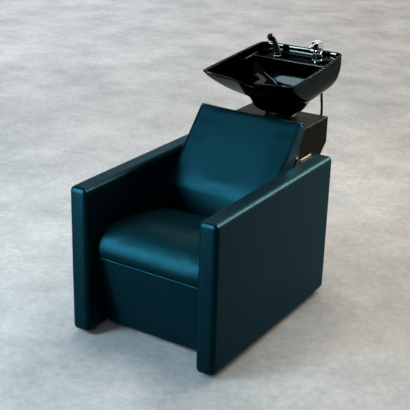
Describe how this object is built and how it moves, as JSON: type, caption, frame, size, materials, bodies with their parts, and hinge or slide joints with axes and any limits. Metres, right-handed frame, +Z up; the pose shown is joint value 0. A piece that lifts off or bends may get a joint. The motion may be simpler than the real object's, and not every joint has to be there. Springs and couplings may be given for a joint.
{
  "type": "hair washing bed",
  "caption": "Reclined hair washing seat with slab arms and a wedge backrest, and a black tilting basin with mixer tap and hand shower behind it.",
  "frame": {"origin": "middle of the footprint on the floor", "axes": "+X to the right of someone looking at the front, +Y from the front of the seat to the basin, +Z up"},
  "size_m": [0.676, 1.2612, 1.0608],
  "materials": {
    "leatherette": "soft black leatherette with a low sheen",
    "timber": "raw board and softwood",
    "board": "black laminate, semi-gloss",
    "frame_steel": "black powder coat",
    "bright_steel": "satin",
    "foot_plastic": "satin black",
    "waste_plastic": "pale grey",
    "brass": "satin",
    "ceramic": "black glaze",
    "chrome": "polished",
    "hose": "satin black"
  },
  "bodies": {
    "base": {"left_arm_core": "timber", "left_arm_cover": "leatherette", "right_arm_core": "timber", "right_arm_cover": "leatherette", "left_front_foot": "foot_plastic", "left_rear_foot": "foot_plastic", "right_front_foot": "foot_plastic", "right_rear_foot": "foot_plastic", "seat_board": "timber", "seat_cushion": "leatherette", "kick_board": "timber", "kick_cover": "leatherette", "back_board": "board", "back_cushion": "leatherette", "timber_battens": "timber", "front_base_rail": "frame_steel", "rear_base_rail": "frame_steel", "left_post": "frame_steel", "right_post": "frame_steel", "left_carrier": "frame_steel", "right_carrier": "frame_steel", "support_plate": "frame_steel", "left_housing_side": "board", "right_housing_side": "board", "housing_rear": "board", "housing_underside": "board", "housing_top": "board", "left_cabinet_top": "board", "right_cabinet_top": "board", "left_side_bracket": "bright_steel", "right_side_bracket": "bright_steel", "rear_access_panel": "board", "access_panel_screws": "bright_steel", "tilt_base": "frame_steel", "tilt_base_bolts": "bright_steel", "neck_cover": "foot_plastic", "pivot_pins": "bright_steel", "waste_funnel": "waste_plastic", "waste_pipe": "waste_plastic", "waste_trap": "waste_plastic", "cold_inlet": "brass", "hot_inlet": "brass"},
    "basin": {"basin_bowl": "ceramic", "tilt_cradle": "frame_steel", "cradle_bolts": "bright_steel", "waste_flange": "bright_steel", "waste_nut": "waste_plastic", "waste_tail": "waste_plastic", "tap_body": "chrome", "tap_nut": "brass", "outlet_pipe": "brass", "handset_socket": "foot_plastic", "hose_guide": "foot_plastic", "shower_hose": "hose"},
    "swivel": {"tap_cartridge": "chrome"},
    "lever": {"tap_handle": "chrome"},
    "handset": {"handset_body": "foot_plastic", "spray_face": "chrome", "handset_stem": "hose"},
    "strainer": {"hair_strainer": "bright_steel"}
  },
  "joints": [
    {"name": "basin_tilt", "type": "hinge", "parent": "base", "child": "basin", "pos_m": [0, 0.44631, 0.7445], "axis": [1, 0, 0], "range_deg": [-8, 8]},
    {"name": "tap_swivel", "type": "hinge", "parent": "basin", "child": "swivel", "pos_m": [0.1025, 0.57298, 0.96037], "axis": [0, -0.0872, 0.9962], "range_deg": [-45, 45]},
    {"name": "tap_lift", "type": "hinge", "parent": "swivel", "child": "lever", "pos_m": [0.1025, 0.56844, 1.01217], "axis": [-0.9781, 0.2071, 0.0181], "range_deg": [0, 20]},
    {"name": "handset_lift", "type": "slide", "parent": "basin", "child": "handset", "axis": [0, -0.0872, 0.9962], "range_m": [0, 0.09]},
    {"name": "strainer_lift", "type": "slide", "parent": "basin", "child": "strainer", "axis": [0, -0.0872, 0.9962], "range_m": [0, 0.06]}
  ]
}
